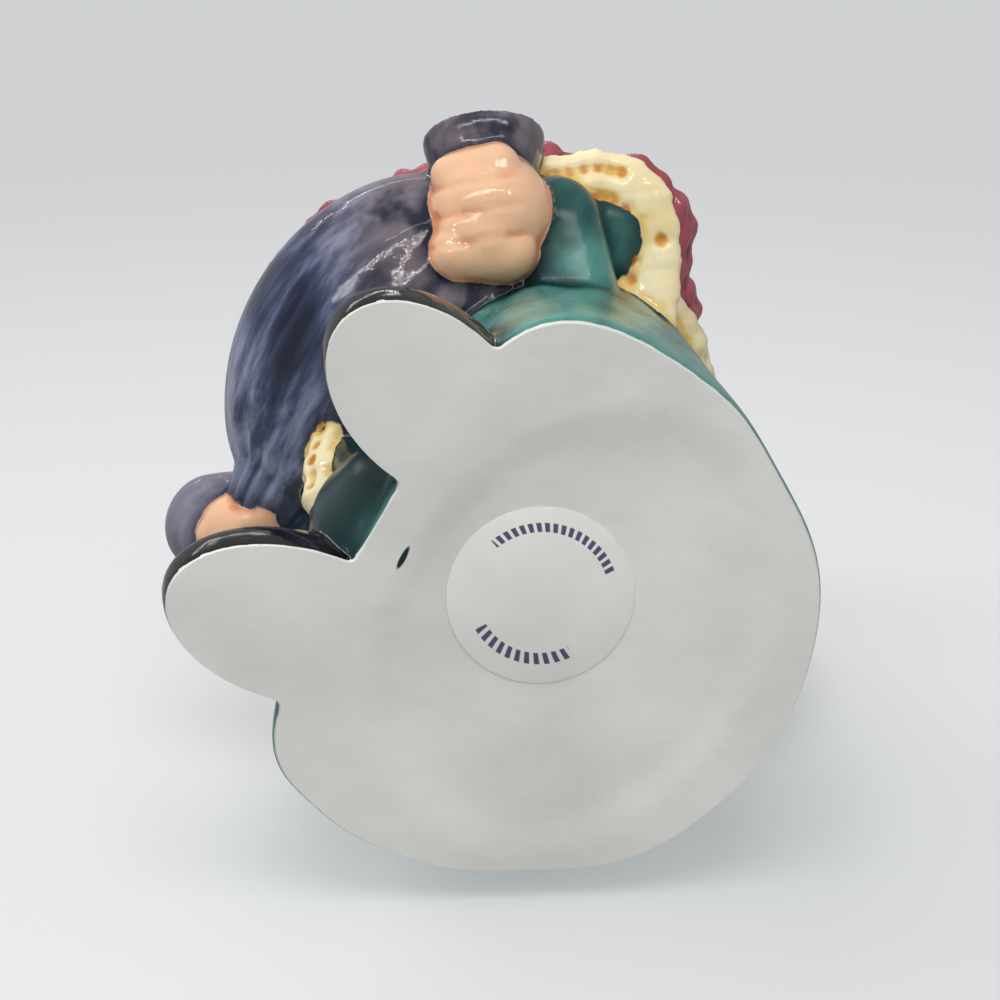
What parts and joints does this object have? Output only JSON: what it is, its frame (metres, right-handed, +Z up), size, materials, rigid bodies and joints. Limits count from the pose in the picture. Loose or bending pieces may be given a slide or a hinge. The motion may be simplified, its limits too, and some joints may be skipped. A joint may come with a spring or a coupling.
{
  "type": "toby jug",
  "caption": "Glazed earthenware toby jug: a seated figure in a green robe and maroon cocked hat holds a blue-grey sack on its lap; open at the hat, with a handle behind",
  "frame": {"origin": "middle of the jug's bounding box, at the plane of its underside", "axes": "+Z up out of the mouth, -Y the way the figure faces, +X the figure's left hand"},
  "size_m": [0.1144, 0.1192, 0.1478],
  "materials": {
    "glazed_earthenware": "glazed earthenware, hand painted under a clear gloss glaze",
    "label_paper": "thin coated paper label"
  },
  "bodies": {
    "root": {"toby_jug": "glazed_earthenware", "base_label": "label_paper"}
  },
  "joints": []
}
